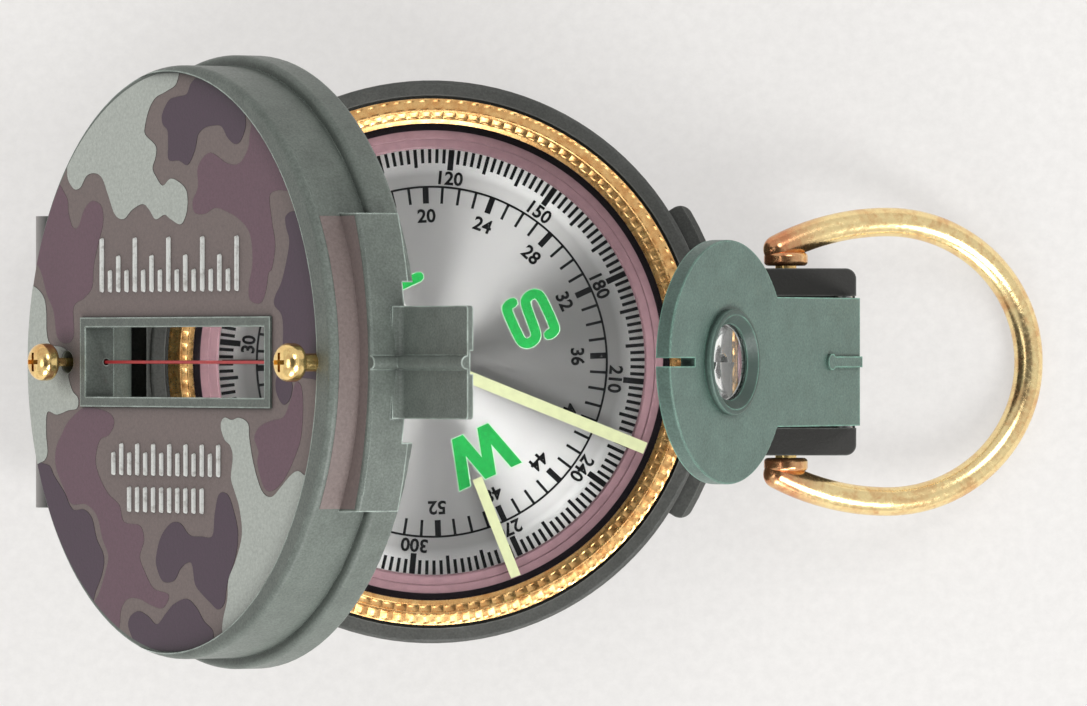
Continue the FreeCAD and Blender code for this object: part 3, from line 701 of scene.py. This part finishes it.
def card_scales():
    """Black scales: degrees round the edge, 64 parts inside them, each numbered."""
    bm = bmesh.new()
    low = CARD_TOP
    high = CARD_TOP + INK_THICKNESS
    # degrees between ticks, radius at which they start, half their width
    degree_ticks = ((30, 17.9, 0.27), (10, 18.1, 0.16), (2, 18.5, 0.15))
    degree_ticks_end = 19.82
    circle_inner = 16.2
    circle_outer = 16.4
    part_ticks_start = 14.75
    part_ticks_end = circle_inner + 0.05
    degree_numbers_r = 17.16
    part_numbers_r = 13.6

    def tick(angle, near, far, half_width):
        corners = [(near, -half_width), (far, -half_width), (far, half_width), (near, half_width)]
        prism(bm, spin(corners, angle), low, high)

    for degrees in range(0, 360, 2):
        near, half_width = next((start, half) for every, start, half in degree_ticks
                                if degrees % every == 0)
        tick(bearing(degrees), near, degree_ticks_end, half_width)
    hoop(bm, circle_inner, circle_outer, low, high)
    for part in range(PARTS):
        half_width = 0.28 if part % 4 == 0 else 0.13
        tick(bearing(360.0 * part / PARTS), part_ticks_start, part_ticks_end, half_width)
    numbers = [(degrees, bearing(degrees), degree_numbers_r) for degrees in range(30, 361, 30)]
    numbers += [(part, bearing(360.0 * part / PARTS), part_numbers_r)
                for part in range(4, PARTS + 1, 4)]
    for number, angle, radius in numbers:
        spot = spin([(radius, 0)], angle)[0]
        lettering(bm, str(number), NUMBER_HEIGHT, spot, angle - 90, low, high)
    settle(object_from(bm, "card_scales", card_ink), "card")


def compass_letters():
    """The four cardinal letters in green with a pale outline."""
    half = 2.1
    stem = 1.8
    letter_n = [(-stem, -half), (-stem, half), (stem, -half), (stem, half)]
    letter_e = [(1.6, half), (-stem, half), (-stem, -half), (2.2, -half)]
    bar_of_e = [(-stem, 0.05), (1.2, 0.05)]
    letter_s = rounded([(2.05, 0.9), (1.95, 1.42), (1.4, 1.7), (-1.2, 1.7), (-1.85, 1.42),
                        (-2.0, 0.9), (-1.75, 0.3), (-1.0, 0.08), (1.0, -0.08), (1.75, -0.3),
                        (2.0, -0.9), (1.85, -1.42), (1.2, -1.7), (-1.4, -1.7), (-1.95, -1.42),
                        (-2.05, -0.9)], closed=False)
    # bearing, strokes, centre across and out from the pivot
    glyphs = (
        (0, [letter_n], 0.0, 9.8),
        (90, [letter_e, bar_of_e], 0.0, 9.8),
        (180, [letter_s], 0.18, 10.05),
    )
    w_across = -0.53
    w_out = 9.69
    edge = bmesh.new()
    ink = bmesh.new()
    # half a stroke's width, how far the W's outline is grown, bottom and top over the card
    layers = ((edge, 0.53, 0.08, 0.0, 0.022), (ink, 0.45, 0.0, 0.01, 0.045))
    for degrees, lines, across, out in glyphs:
        for line in lines:
            for bm, half_width, _, low, high in layers:
                outline = [(x + across, y + out) for x, y in stroke(line, half_width, cap_steps=4)]
                prism(bm, spin(outline, bearing(degrees) - 90), CARD_TOP + low, CARD_TOP + high)
    for bm, _, margin, low, high in layers:
        outline = [(x + w_across, y + w_out) for x, y in letter_w(margin)]
        prism(bm, spin(outline, bearing(270) - 90), CARD_TOP + low, CARD_TOP + high)
    settle(object_from(edge, "letter_outlines", green_edge), "card")
    settle(object_from(ink, "letters", green_ink), "card")


def letter_w(margin):
    """Outline of a square-cut W, grown by a margin."""
    top = 2.32 + margin
    wide = 0.55 + 1.05 * margin
    end = 2.65
    foot = 1.3
    notch_top = 0.35 - 3.7 * margin
    notch_foot = 3.6 * margin - 0.4
    left = [(-end - wide, top), (-foot - wide, -top), (-foot + wide, -top), (0.0, notch_top)]
    inner = [(-wide, top), (-foot, notch_foot), (-end + wide, top)]
    right = [(-x, y) for x, y in reversed(left[:3])]
    return left + right + [(-x, y) for x, y in reversed(inner)] + inner


# Lid --------------------------------------------------------------------------------------
# Patches of the printed pattern on the shut lid, as X and Y in millimetres
CAMOUFLAGE = {
    "light": [
        [(-19.1, 17.6), (-18.2, 15.9), (-16.9, 15.8), (-15.7, 16.9), (-14.2, 17.1), (-13.0, 16.6),
         (-12.0, 15.1), (-10.8, 13.3), (-9.3, 12.9), (-7.9, 13.7), (-6.1, 14.2), (-5.0, 13.7),
         (-3.9, 12.8), (-2.4, 13.2), (-1.4, 12.8), (0.3, 12.3), (1.2, 13.1), (1.5, 14.3), (1.2, 15.4),
         (0.0, 16.1), (-1.4, 16.4), (-2.7, 15.8), (-3.8, 16.6), (-4.4, 17.4), (-3.9, 18.4),
         (-3.9, 19.4), (-5.6, 20.4), (-5.7, 21.2), (-5.0, 22.7), (-3.9, 23.7), (-2.2, 24.2),
         (-0.3, 25.0), (-0.6, 27.0), (-8.0, 27.0), (-17.0, 22.0)],
        [(-24.9, 6.9), (-23.3, 6.0), (-22.8, 4.7), (-22.7, 2.7), (-22.0, 1.6), (-19.8, 1.3),
         (-18.2, 0.5), (-18.4, -0.6), (-18.9, -1.3), (-18.2, -2.6), (-17.2, -3.3), (-17.4, -4.2),
         (-18.9, -4.4), (-20.9, -4.8), (-22.6, -4.6), (-22.8, -6.6), (-22.6, -8.4), (-23.8, -9.2),
         (-27.0, -9.0), (-28.0, 0.0), (-27.0, 7.0)],
        [(7.0, -5.6), (7.6, -4.9), (8.8, -5.1), (10.1, -4.9), (11.5, -5.4), (11.7, -6.6), (12.2, -8.4),
         (13.0, -10.2), (14.0, -11.5), (15.4, -11.8), (16.9, -10.9), (18.4, -9.9), (19.6, -9.5),
         (20.8, -9.9), (23.0, -10.5), (20.0, -20.0), (9.0, -26.0), (7.4, -24.2), (7.4, -22.8),
         (8.1, -21.0), (8.3, -19.2), (9.5, -17.5), (10.5, -15.2), (10.1, -12.9), (9.3, -11.4),
         (8.7, -10.2), (9.0, -8.4), (8.6, -7.4), (7.6, -6.8)],
    ],
    "dark": [
        [(-2.8, 22.2), (-1.7, 23.4), (-0.3, 23.7), (1.3, 23.9), (2.0, 24.8), (3.2, 25.5), (5.2, 27.0),
         (9.0, 26.0), (10.1, 23.7), (10.8, 22.4), (11.1, 20.9), (10.3, 19.6), (9.3, 19.3), (8.1, 19.9),
         (7.1, 20.9), (5.6, 21.0), (4.2, 20.8), (3.2, 20.2), (2.7, 18.9), (1.5, 17.6), (0.0, 18.0),
         (-1.7, 18.1), (-1.8, 19.4), (-1.9, 20.7), (-2.7, 21.3)],
        [(17.6, 12.8), (18.9, 13.2), (20.2, 12.4), (21.4, 11.2), (23.5, 9.0), (25.0, 3.0), (24.0, -1.2),
         (21.5, -1.4), (18.8, -1.3), (18.7, -2.3), (18.2, -3.3), (17.2, -3.7), (16.2, -2.8),
         (16.0, -1.6), (16.9, 0.0), (17.2, 2.7), (16.9, 4.2), (15.8, 5.0), (15.9, 5.8), (16.9, 7.0),
         (17.7, 8.8), (18.2, 10.6), (17.7, 11.8)],
        [(-3.7, -17.0), (-2.9, -15.5), (-1.3, -14.4), (0.3, -14.4), (1.8, -15.4), (3.7, -15.5),
         (5.6, -15.4), (6.0, -13.4), (6.7, -11.7), (8.1, -11.7), (9.0, -12.9), (9.8, -14.9),
         (9.5, -17.0), (8.1, -19.5), (7.6, -21.3), (6.5, -21.9), (5.2, -21.3), (3.7, -20.5),
         (2.7, -19.7), (2.2, -18.0), (1.3, -17.9), (0.2, -18.5), (-0.8, -19.5), (-2.7, -19.6),
         (-3.8, -18.2)],
        [(-8.4, -23.1), (-6.9, -22.4), (-5.2, -22.8), (-3.7, -23.5), (-2.2, -22.5), (-0.8, -21.6),
         (1.3, -21.1), (2.9, -21.8), (4.2, -23.0), (5.8, -24.2), (4.0, -27.0), (-5.0, -27.0),
         (-8.2, -24.4)],
        [(-22.6, -9.4), (-21.4, -10.4), (-19.6, -11.9), (-18.2, -13.4), (-16.2, -13.4), (-14.8, -14.2),
         (-14.0, -16.0), (-12.8, -17.5), (-13.0, -19.0), (-14.2, -20.8), (-16.0, -23.0),
         (-22.0, -18.0), (-26.0, -10.0)],
    ],
    "mauve": [
        [(-19.4, 15.2), (-18.9, 13.6), (-18.2, 12.3), (-17.2, 12.3), (-16.2, 13.8), (-14.8, 14.6),
         (-13.2, 14.1), (-12.9, 12.6), (-13.7, 10.8), (-14.5, 8.8), (-14.8, 6.8), (-16.2, 5.8),
         (-18.0, 5.0), (-18.0, 2.4), (-19.3, 1.7), (-20.9, 2.3), (-21.5, 4.6), (-22.7, 6.2),
         (-24.2, 8.8), (-27.0, 10.0), (-23.0, 17.0)],
        [(3.2, 17.4), (5.2, 18.6), (8.1, 17.6), (10.1, 17.6), (11.5, 18.9), (11.8, 20.2), (13.0, 22.5),
         (17.0, 20.0), (19.5, 16.4), (18.2, 15.1), (16.4, 15.1), (15.0, 14.6), (15.4, 12.3),
         (15.9, 10.3), (15.4, 8.3), (14.8, 7.8), (14.4, 6.3), (13.5, 5.2), (11.8, 5.5), (11.6, 6.8),
         (12.2, 8.8), (11.8, 11.3), (10.1, 12.6), (8.1, 13.3), (6.1, 13.7), (4.4, 13.2), (2.7, 13.3),
         (2.3, 14.3), (3.2, 15.6)],
        [(-21.1, -7.9), (-20.1, -6.6), (-18.9, -5.4), (-16.4, -4.2), (-14.0, -4.2), (-11.6, -4.7),
         (-11.0, -5.6), (-12.0, -6.6), (-13.5, -7.1), (-14.2, -8.9), (-13.5, -10.4), (-12.0, -11.9),
         (-10.1, -12.9), (-9.3, -14.4), (-6.6, -14.7), (-5.9, -16.0), (-6.6, -17.5), (-5.6, -19.0),
         (-4.2, -20.3), (-1.7, -20.8), (-2.7, -22.0), (-4.7, -21.8), (-6.6, -21.3), (-8.6, -21.3),
         (-9.8, -22.3), (-10.1, -23.8), (-11.0, -25.0), (-15.0, -23.0), (-13.5, -20.8),
         (-12.5, -19.0), (-12.0, -17.5), (-13.0, -16.0), (-14.0, -13.9), (-15.9, -12.9),
         (-18.4, -12.9), (-19.8, -11.4), (-21.1, -9.6)],
        [(12.5, -6.6), (13.5, -5.6), (15.4, -5.1), (17.2, -4.8), (18.2, -3.6), (19.2, -1.8),
         (20.1, -2.1), (20.4, -3.8), (20.1, -6.4), (19.2, -8.1), (17.4, -10.2), (15.4, -11.3),
         (14.0, -10.9), (13.0, -8.9), (13.2, -7.9)],
    ],
}
# Each ink's colour and how far it stands off the lid's face, in the order of printing
CAMO_INKS = (
    ("ground", srgb(114, 102, 99), 0.02),
    ("mauve", srgb(103, 79, 89), 0.035),
    ("dark", srgb(76, 61, 73), 0.045),
    ("light", srgb(170, 175, 168), 0.055),
)
# How near a wall the inks carry painted shade, how far they stay inside the face's circle and inside
# the lid's rim, and how far prints and marks reach below the face, in millimetres
CAMO_SHADE_REACH = 2.6
FACE_MARGIN = 0.12
RIM_MARGIN = 0.42
SUNK = 0.01


def circle_points(radius, x, count):
    """A circle round a centre on the X axis."""
    angles = [2 * math.pi * k / count for k in range(count)]
    return [(x + radius * math.cos(angle), radius * math.sin(angle)) for angle in angles]


def cutter(outline):
    """A block through the lid's face that a print is cut with."""
    bm = bmesh.new()
    prism(bm, outline, LID_TOP - 1, LID_TOP + 1)
    return object_from(bm, "cutter")


def carved(piece, keep, remove):
    """Keep what lies inside one solid and outside the others."""
    for helper, operation in [(keep, "INTERSECT")] + [(item, "DIFFERENCE") for item in remove]:
        step = piece.modifiers.new("carve", "BOOLEAN")
        step.object = helper
        step.operation = operation
        step.solver = "EXACT"
    bpy.context.view_layer.update()
    graph = bpy.context.evaluated_depsgraph_get()
    result = bpy.data.meshes.new_from_object(piece.evaluated_get(graph))
    piece.modifiers.clear()
    piece.data = result


def face_outline():
    """The printed face: its own circle, held inside the lid's upper rim."""
    reach = LID_UPPER_R - RIM_MARGIN
    held = []
    for x, y in circle_points(FACE_R - FACE_MARGIN, FACE_CENTRE_X, 160):
        scale = min(1.0, reach / math.hypot(x, y))
        held.append((x * scale, y * scale))
    return held


def window_outline():
    """The window's frame, with a little play."""
    x0, x1, half = WINDOW
    gap = 0.02
    return [(x0 - gap, -half - gap), (x1 + gap, -half - gap), (x1 + gap, half + gap),
            (x0 - gap, half + gap)]


def camouflage():
    """Printed pattern on the lid's face: a ground and three inks over it."""
    keep = cutter(face_outline())
    holes = [cutter(window_outline())]
    holes += [cutter(circle_points(radius, x, 32)) for x, radius in POSTS]
    whole = [(-30.0, -30.0), (30.0, -30.0), (30.0, 30.0), (-30.0, 30.0)]
    for name, color, rise in CAMO_INKS:
        outlines = [whole] if name == "ground" else [rounded(patch) for patch in CAMOUFLAGE[name]]
        bm = bmesh.new()
        for outline in outlines:
            prism(bm, outline, LID_TOP - SUNK, LID_TOP + rise)
        piece = object_from(bm, "camo_" + name, printed("camo_" + name, color, CAMO_SHADE_REACH))
        carved(piece, keep, holes)
        piece.data.transform(opened(slope=True))
        settle(piece, "lid")
    for helper in [keep] + holes:
        bpy.data.objects.remove(helper)


def panel_print():
    """The ground colour again on the wall over the front panel."""
    count = 24
    wall_r = LID_UPPER_R + 0.03
    ledge_r = PANEL_ARC_R - 0.5
    wall_top = LID_TOP - 0.75
    print_bottom = LID_TOP - 2.87
    foot = LID_TOP - 2.92
    depth = 0.05
    spread = math.degrees(math.asin((PANEL_HALF_WIDTH - 0.25) / LID_UPPER_R))
    bm = bmesh.new()
    rows = []
    for index in range(count + 1):
        angle = math.radians(-spread + 2 * spread * index / count)
        y = wall_r * math.sin(angle)
        wall_x = wall_r * math.cos(angle)
        ledge = PANEL_FRONT - PANEL_ARC_R + math.sqrt(ledge_r ** 2 - y ** 2)
        outer = [(wall_x, wall_top), (wall_x, print_bottom), (ledge, print_bottom)]
        inner = [(ledge, foot), (wall_x - depth, foot), (wall_x - depth, wall_top)]
        rows.append([bm.verts.new((x, y, z)) for x, z in outer + inner])
    skin(bm, rows, closed=False)
    bm.faces.new(rows[0][::-1])
    bm.faces.new(rows[-1])
    ink = printed("panel_ink", srgb(112, 100, 97))
    piece = object_from(bm, "panel_print", ink, opened())
    settle(piece, "lid")


def raised_marks():
    """Raised rule marks above and below the window, narrower at their tops."""
    mark_height = 0.26
    crown_share = 0.6
    # how many, first X, spacing, Y of the foot, Y of the tops in turn, half width
    rows = (
        (17, -13.0, 1.42, 6.5, (11.0, 8.1, 9.4, 8.1), 0.24),
        (14, -11.0, 1.36, -10.0, (-8.3, -7.5), 0.22),
        (10, -8.3, 1.36, -13.3, (-11.4,), 0.22),
    )
    bm = bmesh.new()
    for count, first, spacing, foot, tops, half_width in rows:
        for index in range(count):
            x = first + spacing * index
            line = [(x, foot), (x, tops[index % len(tops)])]
            frustum(bm, stroke(line, half_width), stroke(line, half_width * crown_share),
                    LID_TOP - SUNK, LID_TOP + mark_height)
    piece = object_from(bm, "raised_marks", mark_paint(), opened(slope=True))
    settle(piece, "lid")


# Stage ------------------------------------------------------------------------------------
# Each lamp's place and width in metres, and its power in watts
LAMPS = {
    "key": ((0.48, -0.5, 0.65), 0.45, 6.4),
    "fill": ((0.3, 0.5, 0.8), 0.45, 2.4),
    "front": ((-0.05, -0.9, 0.4), 0.5, 3.2),
    "back": ((-0.65, -0.1, 0.75), 0.6, 1.8),
}
# The sky's brightness from the horizon, at 0, to straight overhead, at 1
SKY_GREYS = ((0.0, 0.68), (0.55, 0.76), (0.82, 0.62), (0.95, 0.12))
SKY_STRENGTH = 0.95


def floor():
    """A plain floor, 3 metres across."""
    bpy.ops.mesh.primitive_plane_add(size=3.0, location=(0, 0, 0))
    plane = bpy.context.object
    plane.name = "floor"
    plane.data.materials.append(floor_paper())


def lamp(name, location, size, power):
    """A round lamp turned to the compass."""
    data = bpy.data.lights.new(name, "AREA")
    data.shape = "DISK"
    data.size = size
    data.energy = power
    light = bpy.data.objects.new(name, data)
    light.location = location
    light.rotation_euler = (-Vector(location)).to_track_quat("-Z", "Y").to_euler()
    bpy.context.scene.collection.objects.link(light)


def camera():
    """The view from straight above."""
    data = bpy.data.cameras.new("camera")
    data.sensor_width = SENSOR_WIDTH
    data.lens = CAMERA_LENS
    data.clip_end = 5.0
    view = bpy.data.objects.new("camera", data)
    view.location = (CAMERA_X * MM, CAMERA_Y * MM, (CASE_TOP + CAMERA_HEIGHT) * MM)
    bpy.context.scene.collection.objects.link(view)
    bpy.context.scene.camera = view


def sky():
    """Pale surroundings with a darker patch straight overhead, as under a lens hood."""
    world = bpy.data.worlds.new("world")
    world.use_nodes = True
    nodes = world.node_tree.nodes
    links = world.node_tree.links
    direction = nodes.new("ShaderNodeTexCoord").outputs["Generated"]
    split = nodes.new("ShaderNodeSeparateXYZ")
    links.new(direction, split.inputs[0])
    ramp = nodes.new("ShaderNodeValToRGB")
    links.new(split.outputs["Z"], ramp.inputs["Fac"])
    set_stops(ramp.color_ramp, SKY_GREYS)
    links.new(ramp.outputs["Color"], nodes["Background"].inputs["Color"])
    nodes["Background"].inputs["Strength"].default_value = SKY_STRENGTH
    bpy.context.scene.world = world


knurled_bezel()
card_scales()
compass_letters()
camouflage()
panel_print()
raised_marks()
floor()
camera()
for lamp_name, (place, width, watts) in LAMPS.items():
    lamp(lamp_name, place, width, watts)
sky()
bpy.context.scene.view_settings.view_transform = "Standard"
